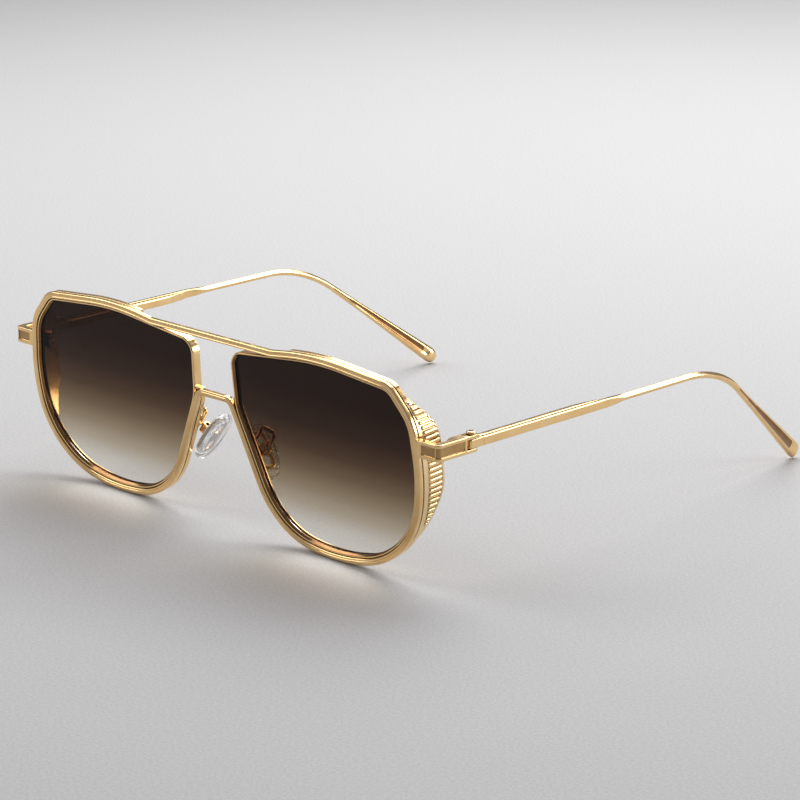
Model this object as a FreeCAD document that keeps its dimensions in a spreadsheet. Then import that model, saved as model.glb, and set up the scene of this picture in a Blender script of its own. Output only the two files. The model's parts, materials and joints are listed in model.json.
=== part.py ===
import FreeCAD, Part
import math
import os
import Sketcher

# Metal aviator sunglasses with side shields and folding temples.
# Millimetres, +Z up. Origin: middle of the box round the open glasses, on the surface they stand on.
# X = 0 is the plane of symmetry, the lenses face -Y and the temples run back along +Y.
# "left" is the wearer's left, the +X side. Every left piece is modelled, then mirrored.
# The front leans forward at the top, so its pieces are drawn upright and then turned.

V = FreeCAD.Vector

SIZES = {
    # placing of the front
    "front_lean": 4.4,            # degrees the top of the front leans forward
    "front_set": -66.45,          # Y of the front face at the level of the footprint
    "front_lift": -0.33,          # keeps the lower rims on the surface after the lean
    # wire that outlines both lenses and both bridges
    "wire_width": 1.6,
    "wire_depth": 1.15,
    "wire_round": 0.22,
    "brow_top": 47.5,
    "brow_half": 20.6,            # half length of the straight brow bar
    "brow_step": 5.5,             # run of the S-bend from the bar down to a lens crown
    "brow_bend": 7.0,
    "bridge_under": 31.5,
    "bridge_half": 4.9,
    "bridge_round": 1.8,
    # lens rims
    "rim_wall": 0.9,
    "rim_depth": 2.7,
    "rim_round": 0.18,
    "flange_front": 1.45,         # the wide back half of the rim starts behind the wire
    "flange_inset": 0.12,
    "flange_corner": 25.5,
    "lens_front": 1.0,
    "lens_thick": 1.3,
    "lens_seat": 0.4,             # how far a lens sits in its groove
    "lens_play": 0.03,
    "split_height": 33.3,
    "split_width": 0.25,
    # closing blocks on the backs of the rims
    "lock_x": 62.5,
    "lock_width": 2.2,
    "lock_depth": 2.0,
    "lock_height": 1.7,
    "lock_pin": 0.4,
    "lock_head": 0.75,
    "lock_cap": 0.5,
    "screw_slot": 0.3,
    # side shields
    "shield_reach": 8.1,
    "shield_wall": 0.95,
    "shield_span": 25.0,
    "rib_depth": 0.3,
    "rib_pitch": 1.24,
    "rib_gap": 0.4,
    "rib_front": 2.9,
    "rib_margin": 0.6,
    # end pieces
    "outer_x": 72.7,              # outer faces of the end pieces and temples
    "inner_x": 69.9,              # inner faces of the forks and temples
    "end_height": 3.9,
    "end_thick": 1.7,
    "end_set": 0.12,
    "end_root": 64.5,
    "end_block": 3.0,
    "end_round": 1.3,
    "rail_height": 0.85,
    "rail_depth": 0.28,
    "rail_stop": 0.55,
    # hinges
    "hinge_x": 71.3,
    "hinge_y": 12.0,              # behind the front face at the hinge's height
    "hinge_z": 33.3,
    "hinge_wall": 2.6,
    "lug_radius": 1.4,
    "lug_thick": 0.8,
    "pin_radius": 0.65,
    "pin_play": 0.05,
    "head_radius": 1.15,
    "head_height": 0.7,
    "washer_thick": 0.12,
    "knuckle_height": 2.0,
    "knuckle_front": 1.6,
    "knuckle_back": 2.7,
    "knuckle_round": 0.5,
    # temples
    "bar_height": 2.1,
    "bar_thick": 1.15,
    "bar_end": 60.0,              # lengths are from the front face at the hinge's height
    "bar_round": 0.22,
    "liner_end": 54.5,
    "liner_tip": 0.65,
    "liner_taper": 8.0,
    "stem_radius": 0.82,
    "bend_y": 96.5,
    "bend_radius": 35.0,
    "tip_x": 63.2,
    "tip_y": 138.0,
    "tip_z": 1.55,
    # nose pads
    "pad_x": 8.6,
    "pad_y": 7.6,
    "pad_z": 18.8,
    "pad_length": 14.4,
    "pad_width": 7.8,
    "pad_thick": 2.3,
    "pad_round": 0.85,
    "pad_splay": 35.0,            # degrees each pad leans, top inward
    "pad_turn": 8.0,
    "insert_length": 9.6,
    "insert_width": 4.2,
    "insert_thick": 0.8,
    "insert_round": 1.2,
    "stalk_thick": 0.9,
    "stalk_height": 1.4,
    "pad_pin": 0.35,
    "pad_pin_reach": 1.2,
    # pad boxes and arms
    "box_wall": 0.4,
    "box_length": 2.4,
    "box_gap": 0.4,
    "box_play": 0.25,
    "box_side_play": 0.08,
    "pad_head": 0.6,
    "pad_cap": 0.35,
    "arm_radius": 0.5,
    "arm_root_x": 9.7,
    "arm_root_z": 22.6,
    "arm_rise": 3.4,
    "arm_back": 3.2,
}

# Corners of one lens outline, as (x, z, corner radius), seen from the front, wearer's left.
# The front wire's outer edge and every rim, lens and shield line is an inset of it.
LENS_CORNERS = [
    (4.7, 45.9, 5.5),
    (5.3, 30.5, 14.0),
    (17.6, 2.7, 21.4),
    (37.7, -0.4, 49.7),
    (54.2, 2.7, 25.3),
    (64.9, 12.8, 21.6),
    (67.2, 25.7, 39.3),
    (65.6, 39.5, 11.5),
    (58.7, 47.2, 6.0),
    (35.4, 49.3, 80.0),
]

# Rear edge of a side shield, as (depth, height, corner radius); None stands for the reach.
SHIELD_EDGE = [(2.7, 44.3, 0), (None, 37.0, 12.0), (None, 22.2, 12.0), (2.7, 9.6, 0)]

doc = FreeCAD.newDocument("aviator_sunglasses")
sheet = doc.addObject("Spreadsheet::Sheet", "sizes")
for row, (alias, value) in enumerate(SIZES.items(), start=1):
    sheet.set("A%d" % row, alias)
    sheet.set("B%d" % row, str(value))
    sheet.setAlias("B%d" % row, alias)
doc.recompute()


def size(alias):
    """A driving dimension, read from the sheet."""
    return float(sheet.get(alias))


# ---------------------------------------------------------------- outlines

def inset_corners(corners, inset):
    """The corners of a closed outline moved inward, with their radii kept concentric."""
    count = len(corners)
    area = sum(corners[i - 1][0] * corners[i][1] - corners[i][0] * corners[i - 1][1] for i in range(count))
    turn = 1.0 if area > 0 else -1.0
    moved = []
    for i in range(count):
        x, z, radius = corners[i]
        ax, az = corners[i - 1][:2]
        bx, bz = corners[(i + 1) % count][:2]
        first = math.hypot(x - ax, z - az)
        second = math.hypot(bx - x, bz - z)
        ux, uz = (x - ax) / first, (z - az) / first
        vx, vz = (bx - x) / second, (bz - z) / second
        cross = ux * vz - uz * vx
        shift = inset * turn / cross if abs(cross) > 1e-9 else 0.0
        shrink = inset * turn * math.copysign(1.0, cross)
        moved.append((x + shift * (vx - ux), z + shift * (vz - uz), radius - shrink))
    return moved


def arc_through(start, middle, end):
    """An arc that always runs counter-clockwise, as sketches need."""
    arc = Part.ArcOfCircle(start, middle, end)
    return arc if arc.Axis.z > 0 else Part.ArcOfCircle(end, middle, start)


def rounded(corners):
    """Lines and tangent arcs round a closed list of (x, y, radius) corners."""
    count = len(corners)
    starts, ends, pieces = [], [], []
    for i in range(count):
        point = V(*corners[i][:2], 0)
        before = (V(*corners[i - 1][:2], 0) - point).normalize()
        after = (V(*corners[(i + 1) % count][:2], 0) - point).normalize()
        radius = corners[i][2]
        half = before.getAngle(after) / 2
        reach = radius / math.tan(half)
        starts.append(point + before * reach)
        ends.append(point + after * reach)
        if radius > 0:
            bisector = (before + after).normalize()
            middle = point + bisector * (radius / math.sin(half) - radius)
            pieces.append(arc_through(starts[i], middle, ends[i]))
    for i in range(count):
        following = starts[(i + 1) % count]
        if (following - ends[i]).Length > 1e-5:
            pieces.append(Part.LineSegment(ends[i], following))
    return pieces


def lens_outline(inset):
    return rounded(inset_corners(LENS_CORNERS, inset))


def polygon(points):
    return rounded([(x, y, 0) for x, y in points])


def rectangle(x0, y0, x1, y1, radius=0.0):
    return rounded([(x0, y0, radius), (x1, y0, radius), (x1, y1, radius), (x0, y1, radius)])


def wire_corners():
    """Corners of the whole front: brow bar, both lenses and lower bridge, counter-clockwise."""
    bar = size("brow_half")
    x0, z0 = LENS_CORNERS[0][:2]
    x1, z1 = LENS_CORNERS[-1][:2]
    join_x = bar + size("brow_step")
    join_z = z0 + (join_x - x0) * (z1 - z0) / (x1 - x0)
    bend = size("brow_bend")
    left = [(size("bridge_half"), size("bridge_under"), size("bridge_round"))]
    left += LENS_CORNERS[2:]
    left += [(join_x, join_z, bend), (bar, size("brow_top"), bend)]
    right = [(-x, z, radius) for x, z, radius in reversed(left)]
    return left + right


# ---------------------------------------------------------------- document helpers

def new_body(label):
    body = doc.addObject("PartDesign::Body", label)
    body.Label = label
    return body


def add_sketch(body, role, pieces, shift=0.0):
    """A sketch on one of the body's origin planes, moved along the plane's normal."""
    sketch = body.newObject("Sketcher::SketchObject", "sketch")
    planes = [feature for feature in body.Origin.OriginFeatures if feature.Role == role]
    sketch.AttachmentSupport = [(planes[0], "")]
    sketch.MapMode = "FlatFace"
    sketch.AttachmentOffset = FreeCAD.Placement(V(0, 0, shift), FreeCAD.Rotation())
    sketch.addGeometry(pieces, False)
    join_ends(sketch)
    return sketch


def join_ends(sketch):
    """Ties ends that fall on the same point together."""
    ends = []
    for index, piece in enumerate(sketch.Geometry):
        if isinstance(piece, (Part.LineSegment, Part.ArcOfCircle)):
            ends.append((index, 1, piece.StartPoint))
            ends.append((index, 2, piece.EndPoint))
    for a in range(len(ends)):
        for b in range(a + 1, len(ends)):
            first, second = ends[a], ends[b]
            if first[0] != second[0] and (first[2] - second[2]).Length < 1e-5:
                tie = Sketcher.Constraint("Coincident", first[0], first[1], second[0], second[1])
                sketch.addConstraint(tie)


def extrude(body, kind, sketch, length, reverse=False):
    """A pad or pocket whose length is an expression on the sheet."""
    feature = body.newObject("PartDesign::" + kind, kind.lower())
    feature.Profile = sketch
    feature.Reversed = reverse
    feature.setExpression("Length", length)
    doc.recompute()
    return feature


def pad_back(body, pieces, front, length):
    """Adds an upright outline, from a depth behind the front face, running backward."""
    return extrude(body, "Pad", add_sketch(body, "XZ_Plane", pieces, -front), length, reverse=True)


def cut_back(body, pieces, front, length):
    """Cuts an upright outline, from a depth behind the front face, running backward."""
    before = body.Shape.Volume
    feature = extrude(body, "Pocket", add_sketch(body, "XZ_Plane", pieces, -front), length)
    if body.Shape.Volume > before - 1e-6:
        raise ValueError("pocket in %s cut nothing" % body.Label)
    return feature


def pad_up(body, pieces, bottom, length):
    """Adds a flat outline, from a height, running upward."""
    return extrude(body, "Pad", add_sketch(body, "XY_Plane", pieces, bottom), length)


def cut_up(body, pieces, bottom, length):
    """Cuts a flat outline, from a height, running upward."""
    before = body.Shape.Volume
    feature = extrude(body, "Pocket", add_sketch(body, "XY_Plane", pieces, bottom), length, reverse=True)
    if body.Shape.Volume > before - 1e-6:
        raise ValueError("pocket in %s cut nothing" % body.Label)
    return feature


def soften(body, keep, radius):
    """Rounds the edges of the body's last feature for which keep(edge) is true."""
    base = body.Tip
    names = ["Edge%d" % (i + 1) for i, edge in enumerate(base.Shape.Edges) if keep(edge)]
    fillet = body.newObject("PartDesign::Fillet", "fillet")
    fillet.Base = (base, names)
    fillet.setExpression("Radius", radius)
    doc.recompute()
    return fillet


def at_depth(depth):
    """Picks edges that lie flat at one depth."""
    return lambda edge: abs(edge.BoundBox.YMin - depth) < 1e-4 and abs(edge.BoundBox.YMax - depth) < 1e-4


def combine(kind, label, base, tool):
    """A Part boolean of two document objects."""
    result = doc.addObject("Part::" + kind, label)
    result.Base = base
    result.Tool = tool
    result.Label = label
    doc.recompute()
    return result


def group(label, members):
    compound = doc.addObject("Part::Compound", label)
    compound.Links = members
    compound.Label = label
    return compound


def rod(radius, height, base, direction=V(0, 0, 1)):
    """A Part cylinder with both sizes bound to the sheet."""
    cylinder = doc.addObject("Part::Cylinder", "rod")
    cylinder.setExpression("Radius", radius)
    cylinder.setExpression("Height", height)
    cylinder.Placement = FreeCAD.Placement(base, FreeCAD.Rotation(V(0, 0, 1), direction))
    return cylinder


def block(low, high, placement=FreeCAD.Placement()):
    """A Part box between two corners, in a frame of its own."""
    box = doc.addObject("Part::Box", "block")
    box.Length, box.Width, box.Height = high - low
    box.Placement = placement.multiply(FreeCAD.Placement(low, FreeCAD.Rotation()))
    return box


def plain(label, shape):
    """A piece whose shape is made directly."""
    feature = doc.addObject("Part::Feature", label)
    feature.Shape = shape
    feature.Label = label
    return feature


def bent_path(points, radii):
    """A wire of straight runs joined by tangent arcs at its inner points."""
    edges = []
    last = points[0]
    for i in range(1, len(points) - 1):
        before = (points[i - 1] - points[i]).normalize()
        after = (points[i + 1] - points[i]).normalize()
        half = before.getAngle(after) / 2
        reach = radii[i - 1] / math.tan(half)
        bisector = (before + after).normalize()
        middle = points[i] + bisector * (radii[i - 1] / math.sin(half) - radii[i - 1])
        start = points[i] + before * reach
        end = points[i] + after * reach
        edges.append(Part.LineSegment(last, start).toShape())
        edges.append(Part.Arc(start, middle, end).toShape())
        last = end
    edges.append(Part.LineSegment(last, points[-1]).toShape())
    return Part.Wire(edges)


def round_sweep(path, radius):
    """A solid of one round section along a path."""
    start = path.Edges[0]
    circle = Part.Circle(start.valueAt(start.FirstParameter), start.tangentAt(start.FirstParameter), radius)
    return path.makePipeShell([Part.Wire([circle.toShape()])], True, True)


# ---------------------------------------------------------------- frames

LEAN = FreeCAD.Placement(
    V(0, size("front_set"), size("front_lift")), FreeCAD.Rotation(V(1, 0, 0), size("front_lean")))
FACE_Y = size("front_set") - size("hinge_z") * math.tan(math.radians(size("front_lean")))
HINGE = V(size("hinge_x"), FACE_Y + size("hinge_y"), size("hinge_z"))
PAD_TURN = FreeCAD.Rotation(V(0, 0, 1), -size("pad_turn"))
PAD_TILT = FreeCAD.Rotation(V(0, 1, 0), -size("pad_splay"))
PAD_CENTRE = V(size("pad_x"), FACE_Y + size("pad_y"), size("pad_z"))
PAD_FRAME = FreeCAD.Placement(PAD_CENTRE, PAD_TURN.multiply(PAD_TILT))


# ---------------------------------------------------------------- front

def make_front_wire():
    body = new_body("front_wire")
    corners = wire_corners()
    width = size("wire_width")
    pad_back(body, rounded(corners) + rounded(inset_corners(corners, width)), 0.0, "sizes.wire_depth")
    front = at_depth(0.0)
    back = at_depth(size("wire_depth"))
    soften(body, lambda edge: front(edge) or back(edge), "sizes.wire_round")
    body.Placement = LEAN
    return body


def make_rim():
    body = new_body("rim_left")
    outer = size("wire_width")
    inner = outer + size("rim_wall")
    depth = size("rim_depth")
    start = size("flange_front")
    flange = lens_outline(size("flange_inset")) + lens_outline(inner)
    pad_back(body, flange, start, "sizes.rim_depth - sizes.flange_front")
    corner = size("flange_corner")
    shoulder = size("bridge_under") + outer
    cut_back(body, rectangle(0, shoulder, corner, 60), start - 1, "sizes.rim_depth + 2")
    pad_back(body, lens_outline(outer) + lens_outline(inner), 0.0, "sizes.rim_depth")
    front = at_depth(0.0)
    back = at_depth(depth)
    soften(body, lambda edge: front(edge) or back(edge), "sizes.rim_round")
    cut_back(body, lens_outline(inner - size("lens_seat")), size("lens_front"), "sizes.lens_thick")
    half = size("split_width") / 2
    level = size("split_height")
    cut_back(body, rectangle(60, level - half, 70, level + half), -1.0, "sizes.rim_depth + 2")
    body.Placement = LEAN
    return body


def make_lens():
    body = new_body("lens_left")
    inset = size("wire_width") + size("rim_wall") - size("lens_seat") + size("lens_play")
    pad_back(body, lens_outline(inset), size("lens_front"), "sizes.lens_thick")
    body.Placement = LEAN
    return body


def shield_profile(label, margin):
    """The shield's side view as a solid across it, kept back from the edge by a margin."""
    body = new_body(label)
    reach = size("shield_reach")
    corners = [(reach if depth is None else depth, height, radius) for depth, height, radius in SHIELD_EDGE]
    closed = [(1.0, corners[0][1], 0)] + corners + [(1.0, corners[-1][1], 0)]
    drawn = inset_corners(closed, margin) if margin else corners
    sketch = add_sketch(body, "YZ_Plane", rounded([(y, z, max(r, 0)) for y, z, r in drawn]), 50)
    extrude(body, "Pad", sketch, "sizes.shield_span")
    return body


def rib_gaps():
    """Short cuts across the outline's outer side, one between every two ribs."""
    edges = [piece.toShape() for piece in lens_outline(size("flange_inset"))]
    points = Part.Wire(Part.__sortEdges__(edges)).discretize(Distance=size("rib_pitch"))
    half = size("rib_gap") / 2
    depth = size("rib_depth")
    pieces = []
    for i in range(1, len(points) - 1):
        along = (points[i + 1] - points[i - 1]).normalize()
        out = V(along.y, -along.x, 0)
        if points[i].x < 55 or not 10 < points[i].y < 46.3:
            continue
        if out.x < 0:
            out = out * -1
        low = points[i] - along * half
        high = points[i] + along * half
        ring = [low - out * depth, high - out * depth, high + out * depth, low + out * depth]
        pieces += polygon([(point.x, point.y) for point in ring])
    return pieces


def make_shield():
    blank = new_body("shield_blank")
    inset = size("flange_inset")
    ring = lens_outline(inset) + lens_outline(inset + size("shield_wall"))
    pad_back(blank, ring, size("rim_depth"), "sizes.shield_reach")
    plate = combine("Common", "shield_plate", blank, shield_profile("shield_side", 0.0))
    gaps = doc.addObject("Part::Extrusion", "rib_gaps")
    drawing = doc.addObject("Sketcher::SketchObject", "rib_gap_drawing")
    drawing.Placement = FreeCAD.Placement(V(0, size("rib_front"), 0), FreeCAD.Rotation(V(1, 0, 0), 90))
    drawing.addGeometry(rib_gaps(), False)
    gaps.Base = drawing
    gaps.DirMode = "Custom"
    gaps.Dir = V(0, 1, 0)
    gaps.Solid = True
    gaps.setExpression("LengthFwd", "sizes.shield_reach")
    doc.recompute()
    inner_side = shield_profile("shield_inner_side", size("rib_margin"))
    cuts = combine("Common", "rib_cuts", gaps, inner_side)
    shield = combine("Cut", "side_shield_left", plate, cuts)
    shield.Placement = LEAN
    return shield


def lock_frame(low_z, high_z):
    """One half of the closing block, on the back of the rim beside the split."""
    x = size("lock_x")
    depth = size("rim_depth")
    low = V(x, depth, low_z)
    high = V(x + size("lock_width"), depth + size("lock_depth"), high_z)
    return block(low, high)


def make_locks():
    """Both halves of the closing block and the screw that pulls them together."""
    half = size("split_width") / 2
    level = size("split_height")
    height = size("lock_height")
    x = size("lock_x") + size("lock_width") / 2
    y = size("rim_depth") + size("lock_depth") / 2
    upper = lock_frame(level + half, level + half + height)
    lower = lock_frame(level - half - height, level - half)
    foot = V(x, y, level - half - height)
    long_pin = "2 * sizes.lock_height + sizes.split_width"
    bores = [rod("sizes.lock_pin", long_pin, foot) for _ in range(2)]
    halves = [combine("Cut", "rim_lock_upper_left", upper, bores[0]),
              combine("Cut", "rim_lock_lower_left", lower, bores[1])]
    pin = rod("sizes.lock_pin", long_pin, foot)
    head = rod("sizes.lock_head", "sizes.lock_cap", foot - V(0, 0, size("lock_cap")))
    plain_screw = combine("Fuse", "rim_screw_blank", pin, head)
    reach = size("lock_head") + 1
    slot = size("screw_slot") / 2
    bottom = foot.z - size("lock_cap")
    top = bottom + size("lock_cap") / 2
    groove = block(V(x - reach, y - slot, bottom - 1), V(x + reach, y + slot, top))
    screw = combine("Cut", "rim_screw_left", plain_screw, groove)
    for piece in halves + [screw]:
        piece.Placement = LEAN
    return halves + [screw]


# ---------------------------------------------------------------- end piece and hinge

def end_plan():
    """The end piece from above: out from the rim, round the corner, back to the fork."""
    outer = size("outer_x")
    front = FACE_Y + size("end_set")
    thick = size("end_thick")
    leg = outer - thick
    wall = HINGE.y - size("hinge_wall")
    inner = size("inner_x")
    root = size("end_root")
    neck = wall - size("end_block")
    return rounded([
        (root, front, 0), (outer, front, size("end_round")), (outer, wall, 0), (inner, wall, 0),
        (inner, neck, 0.6), (leg, neck - 1.2, 1.0), (leg, front + thick, 0.7), (root, front + thick, 0)])


def lug_plan():
    radius = size("lug_radius")
    wall = HINGE.y - size("hinge_wall") - 0.5
    x0, x1 = HINGE.x - radius, HINGE.x + radius
    arc = arc_through(V(x0, HINGE.y, 0), V(HINGE.x, HINGE.y + radius, 0), V(x1, HINGE.y, 0))
    points = [V(x0, HINGE.y, 0), V(x0, wall, 0), V(x1, wall, 0), V(x1, HINGE.y, 0)]
    return [Part.LineSegment(points[i], points[i + 1]) for i in range(3)] + [arc]


def rail_recess():
    """The strip between the two rails, along the front and the side."""
    outer = size("outer_x")
    front = FACE_Y + size("end_set")
    depth = size("rail_depth")
    stop = HINGE.y - size("hinge_wall") - size("rail_stop")
    corner = max(size("end_round") - depth, 0.1)
    root = size("end_root")
    return rounded([
        (root, front - 2, 0), (outer + 2, front - 2, 0), (outer + 2, stop, 0),
        (outer - depth, stop, 0), (outer - depth, front + depth, corner), (root, front + depth, 0)])


def make_end_piece():
    body = new_body("end_piece_blank")
    height = size("end_height")
    bottom = HINGE.z - height / 2
    lug = size("lug_thick")
    pad_up(body, end_plan(), bottom, "sizes.end_height")
    pad_up(body, lug_plan(), bottom, "sizes.lug_thick")
    pad_up(body, lug_plan(), HINGE.z + height / 2 - lug, "sizes.lug_thick")
    rail = size("rail_height")
    cut_up(body, rail_recess(), bottom + rail, "sizes.end_height - 2 * sizes.rail_height")
    bore = Part.Circle(V(HINGE.x, HINGE.y, 0), V(0, 0, 1), size("pin_radius"))
    cut_up(body, [bore], bottom - 1, "sizes.end_height + 2")
    mask = new_body("lens_prism")
    pad_back(mask, lens_outline(0.0), -5.0, "sizes.shield_reach + 5")
    mask.Placement = LEAN
    return combine("Cut", "end_piece_left", body, mask)


def cross_slots(centre, radius, bottom, height):
    """Two crossed blocks that make a screwdriver recess."""
    half = size("screw_slot") / 2
    x, y = centre.x, centre.y
    first = block(V(x - radius, y - half, bottom), V(x + radius, y + half, bottom + height))
    second = block(V(x - half, y - radius, bottom), V(x + half, y + radius, bottom + height))
    return combine("Fuse", "cross", first, second)


def make_hinge_screw():
    top = HINGE.z + size("end_height") / 2
    foot = V(HINGE.x, HINGE.y, HINGE.z - size("end_height") / 2)
    pin = rod("sizes.pin_radius", "sizes.end_height", foot)
    head = rod("sizes.head_radius", "sizes.head_height", V(HINGE.x, HINGE.y, top))
    blank = combine("Fuse", "hinge_screw_blank", pin, head)
    cap = top + size("head_height")
    cross = cross_slots(HINGE, size("head_radius") * 0.7, cap - size("head_height") / 2, 1.0)
    return combine("Cut", "hinge_screw_left", blank, cross)


def make_washers():
    half = size("end_height") / 2 - size("lug_thick")
    thick = size("washer_thick")
    members = []
    for bottom in (HINGE.z - half, HINGE.z + half - thick):
        base = V(HINGE.x, HINGE.y, bottom)
        disc = rod("sizes.lug_radius", "sizes.washer_thick", base)
        hole = rod("sizes.pin_radius", "sizes.washer_thick + 1", base - V(0, 0, 0.5))
        members.append(combine("Cut", "washer", disc, hole))
    return group("hinge_washers_left", members)


# ---------------------------------------------------------------- temple

def make_knuckle():
    body = new_body("hinge_knuckle_left")
    low = HINGE.y - size("knuckle_front")
    high = HINGE.y + size("knuckle_back")
    bottom = HINGE.z - size("knuckle_height") / 2
    corner = size("knuckle_round")
    plan = rounded([
        (size("inner_x"), low, corner), (size("outer_x"), low, corner),
        (size("outer_x"), high, 0), (size("inner_x"), high, 0)])
    pad_up(body, plan, bottom, "sizes.knuckle_height")
    bore = Part.Circle(V(HINGE.x, HINGE.y, 0), V(0, 0, 1), size("pin_radius") + size("pin_play"))
    cut_up(body, [bore], bottom - 1, "sizes.knuckle_height + 2")
    return body


def lengthwise(edge):
    """Picks the long edges of a bar that runs backward."""
    return edge.BoundBox.YLength > 5


def make_liner():
    body = new_body("temple_liner_left")
    start = HINGE.y + size("knuckle_back")
    end = FACE_Y + size("liner_end")
    inner = size("inner_x")
    seam = size("outer_x") - size("bar_thick")
    taper = end - size("liner_taper")
    tip = seam - size("liner_tip")
    plan = polygon([(inner, start), (seam, start), (seam, end), (tip, end), (inner, taper)])
    pad_up(body, plan, HINGE.z - size("bar_height") / 2, "sizes.bar_height")
    soften(body, lengthwise, "sizes.bar_round")
    return body


def flat_oval(centre, along, across, width, thick):
    """An ellipse square to a direction, wide across it."""
    side = along.cross(across).normalize()
    if width < thick + 1e-6:
        return Part.Wire([Part.Circle(centre, along, thick / 2).toShape()])
    ellipse = Part.Ellipse(centre + across * (width / 2), centre + side * (thick / 2), centre)
    return Part.Wire([ellipse.toShape()])


def stem_path(start):
    """Middle line of the round stem: straight back, then down the ear bend to the tip."""
    x = size("outer_x") - size("stem_radius")
    corner = V(x, FACE_Y + size("bend_y"), HINGE.z)
    tip = V(size("tip_x"), FACE_Y + size("tip_y"), size("tip_z"))
    return bent_path([V(x, start, HINGE.z), corner, tip], [size("bend_radius")])


def make_paddle(leg):
    """The flattened end that widens down the leg, as (share of the leg, width, thickness)."""
    top = leg.valueAt(leg.FirstParameter)
    run = leg.valueAt(leg.LastParameter) - top
    along = V(run).normalize()
    across = along.cross(V(1, 0, 0)).normalize()
    stem = 2 * size("stem_radius")
    stations = [(0.0, stem, stem), (0.28, 2.3, 1.75), (0.55, 3.5, 1.9),
                (0.8, 4.5, 2.0), (0.95, 4.7, 2.0), (1.0, 3.9, 1.6)]
    sections = []
    for share, width, thick in stations:
        sections.append(flat_oval(top + run * share, along, across, width, thick))
    return Part.makeLoft(sections, True, False)


def make_temple_arm():
    """Outer bar, round stem, ear bend and widening paddle in one piece."""
    thick = size("bar_thick")
    height = size("bar_height")
    start = HINGE.y + size("knuckle_back")
    end = FACE_Y + size("bar_end")
    bar = Part.makeBox(thick, end - start, height, V(size("outer_x") - thick, start, HINGE.z - height / 2))
    bar = bar.makeFillet(size("bar_round"), [edge for edge in bar.Edges if lengthwise(edge)])
    path = stem_path(end - 4)
    stem = round_sweep(Part.Wire(path.Edges[:2]), size("stem_radius"))
    paddle = make_paddle(path.Edges[2])
    return plain("temple_arm_left", bar.fuse([stem, paddle]).removeSplitter())


# ---------------------------------------------------------------- nose pad

def pad_pieces(pieces, label, low, length):
    """A body drawn in the pad's own frame: its length is up, its face looks along -X."""
    body = new_body(label)
    extrude(body, "Pad", add_sketch(body, "YZ_Plane", pieces, low), length)
    return body


def pad_oval(length, width):
    return [Part.Ellipse(V(0, length / 2, 0), V(width / 2, 0, 0), V(0, 0, 0))]


def make_nose_pad():
    half = size("pad_thick") / 2
    oval = pad_oval(size("pad_length"), size("pad_width"))
    body = pad_pieces(oval, "nose_pad_left", -half, "sizes.pad_thick")
    soften(body, lambda edge: edge.Curve.TypeId == "Part::GeomEllipse", "sizes.pad_round")
    width, length = size("insert_width") / 2, size("insert_length") / 2
    plate = rectangle(-width, -length, width, length, size("insert_round"))
    sketch = add_sketch(body, "YZ_Plane", plate, half - size("insert_thick"))
    extrude(body, "Pocket", sketch, "sizes.insert_thick + 1", reverse=True)
    body.Placement = PAD_FRAME
    return body


def make_insert():
    half = size("pad_thick") / 2
    width, length = size("insert_width") / 2, size("insert_length") / 2
    plate = rectangle(-width, -length, width, length, size("insert_round"))
    body = pad_pieces(plate, "pad_insert_left", half - size("insert_thick"), "sizes.insert_thick")
    reach = half + size("pad_pin_reach")
    tall = size("stalk_height") / 2
    arc = arc_through(V(reach, -tall, 0), V(reach + tall, 0, 0), V(reach, tall, 0))
    root = half - size("insert_thick") / 2
    stalk = [Part.LineSegment(V(root, tall, 0), V(root, -tall, 0)),
             Part.LineSegment(V(root, -tall, 0), V(reach, -tall, 0)),
             arc,
             Part.LineSegment(V(reach, tall, 0), V(root, tall, 0))]
    sketch = add_sketch(body, "XZ_Plane", stalk, -size("stalk_thick") / 2)
    extrude(body, "Pad", sketch, "sizes.stalk_thick")
    bore = Part.Circle(V(reach, 0, 0), V(0, 0, 1), size("pad_pin") + size("pin_play"))
    before = body.Shape.Volume
    drawing = add_sketch(body, "XZ_Plane", [bore], -size("stalk_thick"))
    extrude(body, "Pocket", drawing, "3 * sizes.stalk_thick", reverse=True)
    if body.Shape.Volume > before - 1e-6:
        raise ValueError("the pad insert has no bore")
    body.Placement = PAD_FRAME
    return body


def make_pad_box():
    """The small channel on the pad arm that holds the insert's stalk, and its screw."""
    half = size("pad_thick") / 2
    wall = size("box_wall")
    tall = size("box_length") / 2
    near = half + size("box_gap")
    pin = half + size("pad_pin_reach")
    floor = pin + size("stalk_height") / 2 + size("box_play")
    slot = size("stalk_thick") / 2 + size("box_side_play")
    shell = block(V(near, -slot - wall, -tall), V(floor + wall, slot + wall, tall))
    room = block(V(near - 1, -slot, -tall - 1), V(floor, slot, tall + 1))
    channel = combine("Cut", "pad_box_channel", shell, room)
    start = V(pin, -slot - wall, 0)
    across = "sizes.stalk_thick + 2 * sizes.box_side_play + 2 * sizes.box_wall"
    bore = rod("sizes.pad_pin", across, start, V(0, 1, 0))
    box = combine("Cut", "pad_box_left", channel, bore)
    shaft = rod("sizes.pad_pin", across, start, V(0, 1, 0))
    head = rod("sizes.pad_head", "sizes.pad_cap", start - V(0, size("pad_cap"), 0), V(0, 1, 0))
    screw = combine("Fuse", "pad_screw_left", shaft, head)
    box.Placement = PAD_FRAME
    screw.Placement = PAD_FRAME
    return box, screw, PAD_FRAME.multVec(V(floor + wall, 0, 0))


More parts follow.
